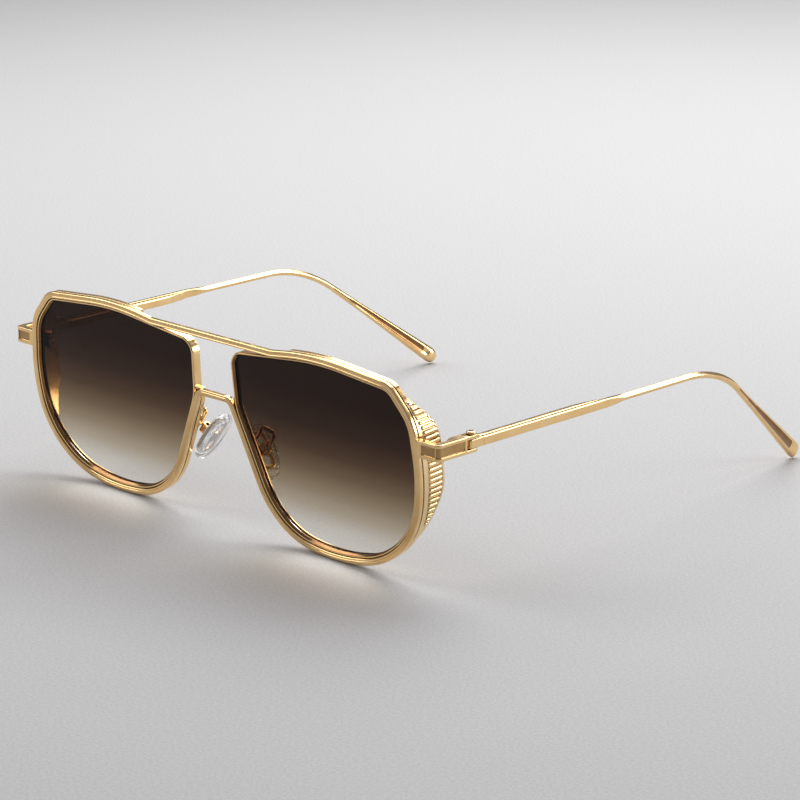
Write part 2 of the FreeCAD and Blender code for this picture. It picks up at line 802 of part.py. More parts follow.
def make_pad_arm(box_back, neighbours):
    """The bent wire that carries the pad box, cut to butt against the box and the back of the rim."""
    root = LEAN.multVec(V(size("arm_root_x"), size("rim_depth") - 0.2, size("arm_root_z")))
    rise = size("arm_rise")
    back = size("arm_back")
    into = PAD_FRAME.Rotation.multVec(V(-1, 0, 0))
    points = [
        root,
        root + V(0, back * 0.5, 0),
        root + V(0.4, back, rise),
        box_back - into * 1.9 + V(0, 0.6, rise * 0.35),
        box_back + into * (size("box_wall") / 2)]
    arm = round_sweep(bent_path(points, [0.8, 1.0, 1.0]), size("arm_radius"))
    return plain("pad_arm_left", arm.cut([neighbour.Shape for neighbour in neighbours]))


# ---------------------------------------------------------------- assembly and export

def mirrored(source):
    """The same piece on the wearer's right."""
    mirror = doc.addObject("Part::Mirroring", source.Label.replace("_left", "_right"))
    mirror.Source = source
    mirror.Base = V(0, 0, 0)
    mirror.Normal = V(1, 0, 0)
    mirror.Label = source.Label.replace("_left", "_right")
    return mirror


def make_all():
    rim = make_rim()
    left = [rim, make_lens(), make_shield()] + make_locks()
    left += [make_end_piece(), make_hinge_screw(), make_washers()]
    left += [make_knuckle(), make_liner(), make_temple_arm()]
    box, screw, box_back = make_pad_box()
    left += [make_nose_pad(), make_insert(), box, screw]
    doc.recompute()
    left += [make_pad_arm(box_back, [rim, box])]
    return [make_front_wire()] + left + [mirrored(piece) for piece in left]


def check(pieces):
    for thing in doc.Objects:
        if "Invalid" in thing.State or "Error" in thing.State:
            raise ValueError("%s failed: %s" % (thing.Label, thing.State))
    for piece in pieces:
        if piece.Shape.isNull() or not piece.Shape.isValid():
            raise ValueError("%s has no valid shape" % piece.Label)


pieces = make_all()
doc.recompute()
check(pieces)
os.makedirs("parts", exist_ok=True)
for piece in pieces:
    piece.Shape.exportStep("parts/%s.step" % piece.Label)
whole = FreeCAD.BoundBox()
for piece in pieces:
    whole.add(piece.Shape.BoundBox)
print("pieces", len(pieces), "box", whole)
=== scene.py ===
import json
import math

import bmesh
import bpy
from mathutils import Matrix, Vector
from mathutils.geometry import tessellate_polygon


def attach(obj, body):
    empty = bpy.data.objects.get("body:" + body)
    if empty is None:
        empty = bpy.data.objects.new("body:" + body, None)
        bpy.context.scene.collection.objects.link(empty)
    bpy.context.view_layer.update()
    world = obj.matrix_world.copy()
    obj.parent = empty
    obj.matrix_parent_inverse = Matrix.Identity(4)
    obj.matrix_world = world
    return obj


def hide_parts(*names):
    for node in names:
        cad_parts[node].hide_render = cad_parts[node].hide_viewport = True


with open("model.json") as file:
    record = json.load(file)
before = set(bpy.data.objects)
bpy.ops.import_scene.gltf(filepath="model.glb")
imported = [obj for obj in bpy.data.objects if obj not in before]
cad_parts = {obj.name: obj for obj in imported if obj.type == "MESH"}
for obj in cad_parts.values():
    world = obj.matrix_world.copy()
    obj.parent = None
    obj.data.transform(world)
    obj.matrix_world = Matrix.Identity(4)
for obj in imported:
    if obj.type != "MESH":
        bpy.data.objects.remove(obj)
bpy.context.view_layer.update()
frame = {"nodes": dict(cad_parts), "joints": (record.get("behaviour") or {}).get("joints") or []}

# Looks of a pair of metal sunglasses. Shapes are worked out in millimetres and written in metres.
# The front is drawn upright as (x, depth behind its face, z) and then leaned, as in the CAD.
# Every left piece is built, then mirrored for the right.

MM = 0.001
FRONT_LEAN = 4.4
FRONT_SET = -66.45
FRONT_LIFT = -0.33
LEAN = Matrix.Translation((0, FRONT_SET, FRONT_LIFT)) @ Matrix.Rotation(math.radians(FRONT_LEAN), 4, "X")
FOLD = [joint for joint in frame["joints"] if joint["name"] == "fold_left"][0]
HINGE = Vector(FOLD["pos_m"]) / MM
HINGE_SETBACK = 12.0
FACE_Y = HINGE.y - HINGE_SETBACK
OUTER_X = 72.7
PAD_SPLAY = 35
PAD_YAW = 8
PAD_TURN = Matrix.Rotation(math.radians(-PAD_YAW), 4, "Z") @ Matrix.Rotation(math.radians(-PAD_SPLAY), 4, "Y")
PAD = Matrix.Translation((8.6, FACE_Y + 7.6, 18.8)) @ PAD_TURN

# Corners of a lens outline and of the rear edge of a side shield: two coordinates and a radius.
LENS_CORNERS = [
    (4.7, 45.9, 5.5), (5.3, 30.5, 14.0), (17.6, 2.7, 21.4), (37.7, -0.4, 49.7), (54.2, 2.7, 25.3),
    (64.9, 12.8, 21.6), (67.2, 25.7, 39.3), (65.6, 39.5, 11.5), (58.7, 47.2, 6.0), (35.4, 49.3, 80.0)]
SHIELD_EDGE = [(2.7, 44.3, 0.01), (8.1, 37.0, 12.0), (8.1, 22.2, 12.0), (2.7, 9.6, 0.01)]
JOIN_Z = 45.9 + (26.1 - 4.7) * (49.3 - 45.9) / (35.4 - 4.7)


# ---------------------------------------------------------------- outlines

def smooth(value, low, high):
    """0 below low, 1 above high, with a soft step between."""
    share = min(max((value - low) / (high - low), 0.0), 1.0)
    return share * share * (3 - 2 * share)


def fillet_points(before, corner, after, radius, spin, pace):
    """Samples of the arc that rounds one corner, each with the normal that points inward."""
    first = (before - corner).normalized()
    second = (after - corner).normalized()
    half = first.angle(second) / 2
    turn = math.pi - 2 * half
    centre = corner + (first + second).normalized() * (radius / math.sin(half))
    spoke = corner + first * (radius / math.tan(half)) - centre
    cross = second.x * first.y - second.y * first.x
    way = 1.0 if cross > 0 else -1.0
    steps = max(3, math.ceil(turn / 0.16), math.ceil(radius * turn / pace))
    samples = []
    for k in range(steps + 1):
        arm = spoke.copy()
        arm.rotate(Matrix.Rotation(way * turn * k / steps, 2))
        normal = arm.normalized() * (-way * spin)
        samples.append((centre + arm, normal))
    return samples


def trace(corners, pace=0.6):
    """Samples (point, inward normal) round a closed outline of rounded corners."""
    spots = [Vector(corner[:2]) for corner in corners]
    count = len(spots)
    area = sum(spots[i - 1].x * spots[i].y - spots[i].x * spots[i - 1].y for i in range(count))
    spin = 1.0 if area > 0 else -1.0
    samples = []
    for i in range(count):
        arc = fillet_points(spots[i - 1], spots[i], spots[(i + 1) % count], corners[i][2], spin, pace)
        samples += run_between(samples[-1], arc[0], pace) if samples else []
        samples += arc
    return samples + run_between(samples[-1], samples[0], pace)


def run_between(last, following, pace):
    """Samples along the straight run between two arcs, ends left out."""
    length = (following[0] - last[0]).length
    steps = int(length / pace)
    return [(last[0].lerp(following[0], k / steps), last[1]) for k in range(1, steps)]


def circle(x, y, radius, count=40):
    samples = []
    for k in range(count):
        turn = 2 * math.pi * k / count
        spoke = Vector((math.cos(turn), math.sin(turn)))
        samples.append((Vector((x, y)) + spoke * radius, -spoke))
    return samples


def box_outline(x0, y0, x1, y1, radius, pace=0.6):
    return trace([(x0, y0, radius), (x1, y0, radius), (x1, y1, radius), (x0, y1, radius)], pace)


def profile(corners, pace=0.5):
    return [point for point, _ in trace(corners, pace)]


def wire_outline():
    left = [(4.9, 31.5, 1.8)] + LENS_CORNERS[2:] + [(26.1, JOIN_Z, 7.0), (20.6, 47.5, 7.0)]
    return trace(left + [(-x, z, radius) for x, z, radius in reversed(left)])


# ---------------------------------------------------------------- meshes

def skin(rings, closed=False):
    """A closed surface over rings of points: looped back on itself, or capped at both ends."""
    count, size = len(rings), len(rings[0])
    points = [point for ring in rings for point in ring]
    faces = []
    for i in range(count if closed else count - 1):
        a, b = i * size, (i + 1) % count * size
        for j in range(size):
            k = (j + 1) % size
            faces.append((a + j, a + k, b + k, b + j))
    if not closed:
        faces.append(tuple(range(size)))
        faces.append(tuple(range((count - 1) * size, count * size)))
    return points, faces


def sweep(path, shape, closed=True):
    """An (inset, depth) profile carried round an upright outline."""
    rings = []
    for index, (point, normal) in enumerate(path):
        drawn = shape(index) if callable(shape) else shape
        ring = []
        for inset, depth in drawn:
            spot = point + normal * inset
            ring.append((spot.x, depth, spot.y))
        rings.append(ring)
    return skin(rings, closed)


def plate(edge, holes, low, high, bevel=0.08):
    """A flat plate with rounded edges, drawn in x and y and standing from low to high."""
    points, faces, bottom, top = [], [], [], []
    steps = 3
    turns = [math.pi / 2 * k / steps for k in range(steps + 1)]
    levels = [(1 - math.sin(turn), 1 - math.cos(turn)) for turn in turns]
    heights = [(bevel * inset, low + bevel * rise) for inset, rise in levels]
    heights += [(bevel * inset, high - bevel * rise) for inset, rise in reversed(levels)]
    for number, outline in enumerate([edge] + holes):
        side = 1.0 if number == 0 else -1.0
        base, size = len(points), len(outline)
        for inset, height in heights:
            points += [(*(point + normal * (side * inset)), height) for point, normal in outline]
        for i in range(len(heights) - 1):
            a, b = base + i * size, base + (i + 1) * size
            faces += [(a + j, a + (j + 1) % size, b + (j + 1) % size, b + j) for j in range(size)]
        bottom.append(list(range(base, base + size)))
        last = base + (len(heights) - 1) * size
        top.append(list(range(last, last + size)))
    for loops in (bottom, top):
        flat = [index for loop in loops for index in loop]
        cover = tessellate_polygon([[Vector(points[index]) for index in loop] for loop in loops])
        faces += [tuple(flat[corner] for corner in triangle) for triangle in cover]
    return points, faces


def lathe(outline, count=40):
    """A turned solid: (radius, height) pairs from the bottom centre to the top centre."""
    rings = []
    for radius, height in outline:
        angles = [2 * math.pi * k / count for k in range(count)]
        rings.append([(radius * math.cos(a), radius * math.sin(a), height) for a in angles])
    return skin(rings)


def moved(part, place):
    return [place @ Vector(point) for point in part[0]], part[1]


def joined(*parts):
    """Several closed shells as one."""
    points, faces = [], []
    for some, more in parts:
        base = len(points)
        points += some
        faces += [tuple(base + index for index in face) for face in more]
    return points, faces


def mesh_of(part, mirror=False):
    """A Blender mesh in metres with its normals outward and its soft edges smooth."""
    side = -MM if mirror else MM
    mesh = bpy.data.meshes.new("form")
    mesh.from_pydata([(p[0] * side, p[1] * MM, p[2] * MM) for p in part[0]], [], part[1])
    work = bmesh.new()
    work.from_mesh(mesh)
    bmesh.ops.remove_doubles(work, verts=work.verts, dist=1e-7)
    bmesh.ops.dissolve_degenerate(work, edges=work.edges, dist=1e-8)
    bmesh.ops.recalc_face_normals(work, faces=work.faces)
    work.to_mesh(mesh)
    work.free()
    mesh.shade_smooth()
    mesh.set_sharp_from_angle(angle=math.radians(38))
    return mesh


def carve(part, tool):
    """part with tool taken out of it, cut at a thousand times its size to keep fine edges apart."""
    grown = [([Vector(point) / MM for point in points], faces) for points, faces in (part, tool)]
    blank = bpy.data.objects.new("blank", mesh_of(grown[0]))
    cutter = bpy.data.objects.new("cutter", mesh_of(grown[1]))
    for item in (blank, cutter):
        bpy.context.scene.collection.objects.link(item)
    cut = blank.modifiers.new("cut", "BOOLEAN")
    cut.operation = "DIFFERENCE"
    cut.solver = "EXACT"
    cut.object = cutter
    result = bpy.data.meshes.new_from_object(blank.evaluated_get(bpy.context.evaluated_depsgraph_get()))
    points = [vertex.co.copy() for vertex in result.vertices]
    faces = [tuple(face.vertices) for face in result.polygons]
    for item in (blank, cutter):
        bpy.data.objects.remove(item)
    return points, faces


def show(name, part, body, slot, nodes, mirror=False, inlay=None):
    """One piece of the visual model, riding on its body in place of its CAD nodes."""
    piece = bpy.data.objects.new(name, mesh_of(part, mirror))
    bpy.context.scene.collection.objects.link(piece)
    piece.data.materials.append(FINISH[slot])
    if inlay:
        finish, chosen = inlay
        piece.data.materials.append(FINISH[finish])
        for face in piece.data.polygons:
            face.material_index = 1 if chosen(face) else 0
    even = piece.modifiers.new("even_normals", "WEIGHTED_NORMAL")
    even.keep_sharp = True
    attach(piece, body)
    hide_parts(*nodes)
    return piece


def show_pair(node, part, body, slot, inlay=None):
    """The left piece and its mirror image; inlay is a second finish and a test for its faces."""
    for side in ("left", "right"):
        rides = body if body == "front" else "%s_%s" % (body, side)
        name = "%s_%s" % (node, side)
        show(name + "_look", part, rides, slot, [name], side == "right", inlay)


# ---------------------------------------------------------------- materials

def new_finish(name, values):
    """A material whose plain values sit on the shader itself."""
    material = bpy.data.materials.new(name)
    material.use_nodes = True
    surface = material.node_tree.nodes["Principled BSDF"]
    for socket, value in values.items():
        surface.inputs[socket].default_value = value
    return material, surface


def pattern(material, scale, detail, stretch=(1, 1, 1)):
    """Noise fixed to the piece; scale is in lumps per metre."""
    tree = material.node_tree
    where = tree.nodes.new("ShaderNodeTexCoord")
    turn = tree.nodes.new("ShaderNodeMapping")
    turn.inputs["Scale"].default_value = stretch
    noise = tree.nodes.new("ShaderNodeTexNoise")
    noise.inputs["Scale"].default_value = scale
    noise.inputs["Detail"].default_value = detail
    tree.links.new(where.outputs["Object"], turn.inputs["Vector"])
    tree.links.new(turn.outputs["Vector"], noise.inputs["Vector"])
    return noise.outputs[0]


def ranged(material, source, low, high):
    """The noise spread between two values."""
    node = material.node_tree.nodes.new("ShaderNodeMapRange")
    node.inputs["From Min"].default_value = 0.3
    node.inputs["From Max"].default_value = 0.7
    node.inputs["To Min"].default_value = low
    node.inputs["To Max"].default_value = high
    material.node_tree.links.new(source, node.inputs["Value"])
    return node.outputs["Result"]


def tinted(material, source, stops):
    node = material.node_tree.nodes.new("ShaderNodeValToRGB")
    ramp = node.color_ramp
    while len(ramp.elements) < len(stops):
        ramp.elements.new(0.5)
    for element, (place, colour) in zip(ramp.elements, stops):
        element.position = place
        element.color = (*colour, 1.0)
    material.node_tree.links.new(source, node.inputs["Fac"])
    return node.outputs["Color"]


def roughen(material, surface, source, strength, distance):
    bump = material.node_tree.nodes.new("ShaderNodeBump")
    bump.inputs["Strength"].default_value = strength
    bump.inputs["Distance"].default_value = distance
    material.node_tree.links.new(source, bump.inputs["Height"])
    material.node_tree.links.new(bump.outputs["Normal"], surface.inputs["Normal"])


def with_painted_shade(material, tone, closed, free):
    """The tone with painted shade, a dark brown, in grooves and corners where ambient occlusion finds them:
    full below one openness and gone above another.
    """
    tree = material.node_tree
    corner = tree.nodes.new("ShaderNodeAmbientOcclusion")
    corner.samples = 6
    corner.inputs["Distance"].default_value = 0.0008
    share = tree.nodes.new("ShaderNodeMapRange")
    share.inputs["From Min"].default_value = closed
    share.inputs["From Max"].default_value = free
    mix = tree.nodes.new("ShaderNodeMixRGB")
    mix.inputs["Color1"].default_value = (*PAINTED_SHADE_BROWN, 1)
    tree.links.new(corner.outputs["AO"], share.inputs["Value"])
    tree.links.new(share.outputs["Result"], mix.inputs["Fac"])
    tree.links.new(tone, mix.inputs["Color2"])
    return mix.outputs["Color"]


def gold(name, light, dark, rough, grain=2600.0, strength=0.05, stretch=(1, 1, 1), painted_shade_span=(0.15, 0.75)):
    """Plated metal: two close tones, uneven gloss, a very fine orange-peel and painted shade in grooves and
    corners.
    """
    material, surface = new_finish(name, {"Metallic": 1.0})
    link = material.node_tree.links.new
    tone = tinted(material, pattern(material, 260.0, 3.0), [(0.3, dark), (0.7, light)])
    # Painted shade: the base colour turns dark brown in grooves and corners.
    link(with_painted_shade(material, tone, *painted_shade_span), surface.inputs["Base Color"])
    gloss = ranged(material, pattern(material, 520.0, 4.0), rough * 0.8, rough * 1.25)
    link(gloss, surface.inputs["Roughness"])
    roughen(material, surface, pattern(material, grain, 4.0, stretch), strength, 0.00003)
    return material


def glass_tint():
    """Brown coated lens, dark at the top and almost clear at the bottom, that lets tinted light through."""
    values = {"Roughness": 0.0, "IOR": 1.18, "Transmission Weight": 1.0, "Specular IOR Level": 0.1}
    material, surface = new_finish("lens_tint", values)
    tree = material.node_tree
    link = tree.links.new
    where = tree.nodes.new("ShaderNodeTexCoord")
    parts = tree.nodes.new("ShaderNodeSeparateXYZ")
    link(where.outputs["Object"], parts.inputs["Vector"])
    height = tree.nodes.new("ShaderNodeMapRange")
    height.inputs["From Min"].default_value = 0.0
    height.inputs["From Max"].default_value = 0.0485
    link(parts.outputs["Z"], height.inputs["Value"])
    tone = tinted(material, height.outputs["Result"], LENS_TONES)
    link(tone, surface.inputs["Base Color"])
    half = tree.nodes.new("ShaderNodeGamma")
    half.inputs["Gamma"].default_value = 0.5
    link(tone, half.inputs["Color"])
    clear = tree.nodes.new("ShaderNodeBsdfTransparent")
    link(half.outputs["Color"], clear.inputs["Color"])
    mix_for_shadow(material, surface, clear)
    return material


def mix_for_shadow(material, surface, clear):
    """Shadow rays pass straight through, as light does through clear plastic."""
    tree = material.node_tree
    path = tree.nodes.new("ShaderNodeLightPath")
    mix = tree.nodes.new("ShaderNodeMixShader")
    tree.links.new(path.outputs["Is Shadow Ray"], mix.inputs["Fac"])
    tree.links.new(surface.outputs["BSDF"], mix.inputs[1])
    tree.links.new(clear.outputs["BSDF"], mix.inputs[2])
    tree.links.new(mix.outputs["Shader"], tree.nodes["Material Output"].inputs["Surface"])


def silicone():
    values = {"Base Color": (0.97, 0.975, 0.975, 1), "IOR": 1.41, "Transmission Weight": 0.84}
    material, surface = new_finish("pad_silicone", values)
    link = material.node_tree.links.new
    link(ranged(material, pattern(material, 700.0, 3.0), 0.04, 0.12), surface.inputs["Roughness"])
    roughen(material, surface, pattern(material, 1200.0, 2.0), 0.06, 0.00003)
    clear = material.node_tree.nodes.new("ShaderNodeBsdfTransparent")
    clear.inputs["Color"].default_value = (0.9, 0.91, 0.91, 1)
    mix_for_shadow(material, surface, clear)
    return material


def nylon():
    material, surface = new_finish("washer_nylon", {"Subsurface Weight": 0.1})
    link = material.node_tree.links.new
    stops = [(0.3, (0.70, 0.69, 0.66)), (0.7, (0.80, 0.79, 0.76))]
    tone = tinted(material, pattern(material, 900.0, 3.0), stops)
    link(tone, surface.inputs["Base Color"])
    link(ranged(material, pattern(material, 1500.0, 3.0), 0.38, 0.55), surface.inputs["Roughness"])
    roughen(material, surface, pattern(material, 3000.0, 3.0), 0.15, 0.00003)
    return material


LENS_TONES = [
    (0.06, (0.93, 0.92, 0.90)), (0.15, (0.80, 0.77, 0.70)), (0.24, (0.56, 0.49, 0.38)),
    (0.33, (0.36, 0.28, 0.19)), (0.42, (0.20, 0.14, 0.085)), (0.52, (0.095, 0.056, 0.034)),
    (0.64, (0.040, 0.022, 0.015)), (0.80, (0.020, 0.011, 0.008))]
PALE = (0.93, 0.66, 0.33)
WARM = (0.87, 0.57, 0.25)
# Dark brown painted into grooves and corners as painted shade.
PAINTED_SHADE_BROWN = (0.16, 0.075, 0.02)
FINISH = {
    "wire_gold": gold("wire_gold", PALE, WARM, 0.17),
    "rim_gold": gold("rim_gold", PALE, WARM, 0.15),
    # Paler gold as a painted highlight on the side shield's ribs, with stronger painted shade between them.
    "shield_gold": gold("shield_gold", (0.96, 0.74, 0.44), (0.92, 0.66, 0.34), 0.2, painted_shade_span=(0.3, 0.95)),
    "end_gold": gold("end_gold", PALE, WARM, 0.16),
    "temple_gold": gold("temple_gold", PALE, WARM, 0.14, 2600.0, 0.05, (1, 0.2, 1)),
    "screw_gold": gold("screw_gold", (0.9, 0.66, 0.36), (0.84, 0.58, 0.29), 0.24),
    # Satin finish for the end piece's recess: the roughness is the finish, the darker colour is painted shade.
    "satin_gold_painted_shade": gold("satin_gold_painted_shade", (0.50, 0.32, 0.14), (0.40, 0.24, 0.10), 0.32, 3200.0, 0.25),
    # Dark bronze standing in for dark reflections on the rim's slope and the paddle's grooves: painted
    # reflection.
    "bronze_painted_reflection": gold("bronze_painted_reflection", (0.30, 0.165, 0.07), (0.22, 0.11, 0.045), 0.12),
    "lens_tint": glass_tint(),
    "pad_silicone": silicone(),
    "washer_nylon": nylon(),
}


# ---------------------------------------------------------------- front

def bead(x, depth, z, radius, tall):
    """A small drop of solder on the front."""
    rows = 12
    angles = [math.pi * (k + 0.5) / rows - math.pi / 2 for k in range(rows)]
    ball = lathe([(radius * math.cos(a), tall * math.sin(a)) for a in angles], 24)
    return moved(ball, Matrix.Translation((x, depth, z)))


def build_front_wire():
    """One wire round both lenses, the brow bar and the lower bridge, with two hairline grooves."""
    groove = [(0.46, 0.0, 0.05), (0.54, 0.04, 0.04), (0.62, 0.0, 0.05)]
    second = [(0.99, 0.0, 0.05), (1.08, 0.08, 0.03), (1.17, 0.0, 0.05)]
    shape = profile([(0.0, 0.0, 0.36)] + groove + second
                    + [(1.6, 0.0, 0.24), (1.6, 1.15, 0.18), (0.0, 1.15, 0.22)], 0.3)
    beads = [bead(side * 5.85, 0.4, 33.1, 0.3, 0.42) for side in (1, -1)]
    part = joined(sweep(wire_outline(), shape), *beads)
    show("front_wire_look", moved(part, LEAN), "front", "wire_gold", ["front_wire"])


def open_at(path, level, half):
    """The outline cut open on its outer side, with its two ends at the sides of a gap."""
    count = len(path)
    for i in range(count):
        low, high = path[i], path[(i + 1) % count]
        if low[0].x > 60 and low[0].y <= level < high[0].y:
            break
    share = (level - low[0].y) / (high[0].y - low[0].y)
    middle = low[0].lerp(high[0], share)
    along = (high[0] - low[0]).normalized() * half
    rest = [path[(i + 1 + k) % count] for k in range(count)]
    keep = [item for item in rest if abs(item[0].y - level) > half or item[0].x < 60]
    return [(middle + along, low[1])] + keep + [(middle - along, low[1])]


def upright(middle):
    """A face's middle in millimetres as (x, depth, z) before the lean."""
    return LEAN.inverted() @ (Vector(middle) / MM)


def in_painted_reflection_bezel(face):
    """Faces of the slope and wall that run down to the lens, which take a dark bronze as painted dark
    reflection.
    """
    spot = upright((abs(face.center.x), face.center.y, face.center.z))
    if not 0.4 < spot.y < 1.15:
        return False
    inset = min((Vector((spot.x, spot.z)) - point).length for point in RIM_LINE)
    return 2.1 < inset < 2.53


SPLIT_Z = 33.3
STRAP_FRONT = 1.45
RIM_BACK = 2.7


def build_rim():
    """Groove and sloping lip round the lens, split at the hinge, and the strap behind the wire."""
    outline = trace(LENS_CORNERS)
    lip = profile([
        (1.62, 0.66, 0.04), (1.82, 0.34, 0.1), (2.12, 0.42, 0.06), (2.5, 0.92, 0.04), (2.5, 1.12, 0.02),
        (2.1, 1.12, 0.02), (2.1, 2.33, 0.03), (2.5, 2.33, 0.03), (2.5, RIM_BACK, 0.16),
        (1.62, RIM_BACK, 0.1)], 0.5)
    ring = sweep(open_at(outline, SPLIT_Z, 0.04), lip, closed=False)
    band = [item for item in outline if not (item[0].x < 25.5 and item[0].y > 33.1)]
    start = [i for i, item in enumerate(band) if (item[0] - band[i - 1][0]).length > 3][0]
    band = band[start:] + band[:start]
    inset = [0.12 + 0.1 * shield_share(point.y) * (point.x > 50) for point, _ in band]
    strap = sweep(band, lambda i: profile([
        (inset[i], STRAP_FRONT, 0.12), (1.75, STRAP_FRONT, 0.05),
        (1.75, RIM_BACK, 0.05), (inset[i], RIM_BACK, 0.14)], 5.0), closed=False)
    part = moved(joined(ring, strap), LEAN)
    # The slope and wall down to the lens get dark bronze as painted reflection.
    show_pair("rim", part, "front", "rim_gold", ("bronze_painted_reflection", in_painted_reflection_bezel))


def build_lens():
    """A lens with a slight forward crown, seated in the rim's groove."""
    outline = trace(LENS_CORNERS, 0.5)
    centre = Vector((36.5, 24.0))
    edge = [point + normal * 2.13 for point, normal in outline]
    shares = [1.0, 0.996, 0.97, 0.93, 0.87, 0.8, 0.7, 0.6, 0.5, 0.4, 0.3, 0.2, 0.1]
    rings = []
    for face, sign in ((1.0, 1), (2.3, -1)):
        some = []
        for share in shares:
            soft = 0.06 * sign if share == 1.0 else 0.0
            depth = face + soft - 0.5 * (1 - share ** 2)
            spots = [centre + (point - centre) * share for point in edge]
            some.append([(spot.x, depth, spot.y) for spot in spots])
        rings.append(some)
    part = moved(skin(list(reversed(rings[0])) + rings[1]), LEAN)
    show_pair("lens", part, "front", "lens_tint")


def edge_depth(z):
    """Depth of the side shield's rear edge at a height."""
    best = 2.7
    for (d0, z0), (d1, z1) in zip(SHIELD_LINE, SHIELD_LINE[1:]):
        if min(z0, z1) <= z <= max(z0, z1) and abs(z1 - z0) > 1e-9:
            best = max(best, d0 + (d1 - d0) * (z - z0) / (z1 - z0))
    return best


def shield_share(z):
    """1 along the side shield and 0 beyond its two ends."""
    return smooth(z, 9.8, 11.2) * (1 - smooth(z, 43.4, 44.2))


RIM_LINE = [point for point, _ in trace(LENS_CORNERS, 0.3)]
SHIELD_LINE = [tuple(point) for point, _ in trace(SHIELD_EDGE, 0.2)]
RIB_PITCH = 1.24
RIB_HALF = 0.46
RIB_RISE = 0.26


def shield_path(step):
    """Even samples (point, normal, distance) up the outer side of the lens outline."""
    dense = [item for item in trace(LENS_CORNERS, 0.1) if item[0].x > 50 and 9.7 < item[0].y < 44.2]
    dense.sort(key=lambda item: item[0].y)
    places = [0.0]
    for last, following in zip(dense, dense[1:]):
        places.append(places[-1] + (following[0] - last[0]).length)
    count = int(places[-1] / step)
    samples, k = [], 0
    for i in range(count + 1):
        goal = places[-1] * i / count
        while k < len(places) - 2 and places[k + 1] < goal:
            k += 1
        share = (goal - places[k]) / max(places[k + 1] - places[k], 1e-9)
        point = dense[k][0].lerp(dense[k + 1][0], share)
        normal = dense[k][1].lerp(dense[k + 1][1], share).normalized()
        samples.append((point, normal, goal))
    return samples


def rib_table(path):
    """Middle, front end and rear end of every rib."""
    ribs = []
    for k in range(int(path[-1][2] / RIB_PITCH)):
        middle = (k + 0.5) * RIB_PITCH
        point = min(path, key=lambda item: abs(item[2] - middle))[0]
        front = 2.85 - 1.1 * smooth(point.y, 35, 41)
        rear = edge_depth(point.y) - 0.45 - 0.45 * (1 - smooth(point.y, 28, 34))
        if rear > front + 1.25 * RIB_HALF:
            centre = (front + rear) / 2
            ribs.append((middle, min(front + RIB_HALF, centre), max(rear - RIB_HALF, centre)))
    return ribs


def rib_height(ribs, along, depth):
    """Height of the ribbed skin over the smooth one."""
    near = min(ribs, key=lambda rib: abs(rib[0] - along))
    beyond = max(near[1] - depth, depth - near[2], 0.0)
    away = math.hypot(near[0] - along, beyond)
    inside = ribs[0][0] - RIB_HALF < along < ribs[-1][0] + RIB_HALF and beyond < RIB_HALF
    if away < RIB_HALF:
        return RIB_RISE * (1 - (away / RIB_HALF) ** 2) ** 0.6
    return -0.14 if inside else 0.0


def shield_column(point, normal, along, ribs):
    """One slice through the shield, from its outer front edge round the rear to its inner face."""
    rear = max(edge_depth(point.y), 2.76)
    blend = shield_share(point.y)
    outer = 0.3 - 0.18 * blend
    inner = 1.07
    soft = min(0.35, 0.45 * (rear - 2.7))
    ring = [(outer + 0.3, 1.52), (outer + 0.05, 1.5)]
    count = 44
    for k in range(count + 1):
        depth = 1.55 + (rear - soft - 1.55) * k / count
        ring.append((outer - rib_height(ribs, along, depth), depth))
    mid = (outer + inner) / 2
    wide = (inner - outer) / 2
    for k in range(1, 8):
        turn = math.pi * k / 8
        ring.append((mid - wide * math.cos(turn), rear - soft + soft * math.sin(turn)))
    ring.append((inner, rear - soft))
    ring.append((inner, 2.71))
    ring.append((inner - 0.3, 2.66))
    ring.append((outer + 0.45, 1.6))
    return [((point + normal * inset).x, depth, (point + normal * inset).y) for inset, depth in ring]


def build_shield():
    path = shield_path(0.124)
    ribs = rib_table(path)
    rings = [shield_column(point, normal, along, ribs) for point, normal, along in path]
    # The side shields take a paler gold as painted highlight, and stronger painted shade between the ribs.
    show_pair("side_shield", moved(skin(rings), LEAN), "front", "shield_gold")


def build_locks():
    """Two blocks behind the split of the rim and the screw that draws them together."""
    for node, low in (("rim_lock_upper", 33.425), ("rim_lock_lower", 31.475)):
        edge = box_outline(62.5, RIM_BACK, 64.7, 4.7, 0.25)
        block = plate(edge, [circle(63.6, 3.7, 0.42, 24)], low, low + 1.7, 0.1)
        show_pair(node, moved(block, LEAN), "front", "rim_gold")
    turned = lathe([(0.02, -0.5), (0.55, -0.5), (0.7, -0.44), (0.75, -0.3), (0.75, -0.06), (0.7, 0.0),
                    (0.4, 0.0), (0.4, 3.55), (0.36, 3.6), (0.02, 3.6)], 32)
    slot = plate(box_outline(-1, -0.15, 1, 0.15, 0.03), [], -0.7, -0.25, 0.02)
    screw = moved(carve(turned, slot), Matrix.Translation((63.6, 3.7, 31.475)))
    show_pair("rim_screw", moved(screw, LEAN), "front", "screw_gold")


# ---------------------------------------------------------------- end piece and hinge

END_Z = 31.35
END_TALL = 3.9
RAIL = 0.85
RECESS = 0.28
LUG = 0.8


def end_levels():
    """(height, inset of the whole outline, share of the recess) from the bottom to the top."""
    half = [(0.0, 0.13, 0), (0.03, 0.06, 0), (0.08, 0.015, 0), (0.15, 0.0, 0), (RAIL - 0.12, 0.0, 0),
            (RAIL - 0.05, 0.0, 0.08), (RAIL - 0.01, 0.0, 0.3), (RAIL + 0.01, 0.0, 0.85),
            (RAIL + 0.05, 0.0, 1.0), (RAIL + 0.5, 0.0, 1.0)]
    return half + [(END_TALL - height, inset, share) for height, inset, share in reversed(half)]


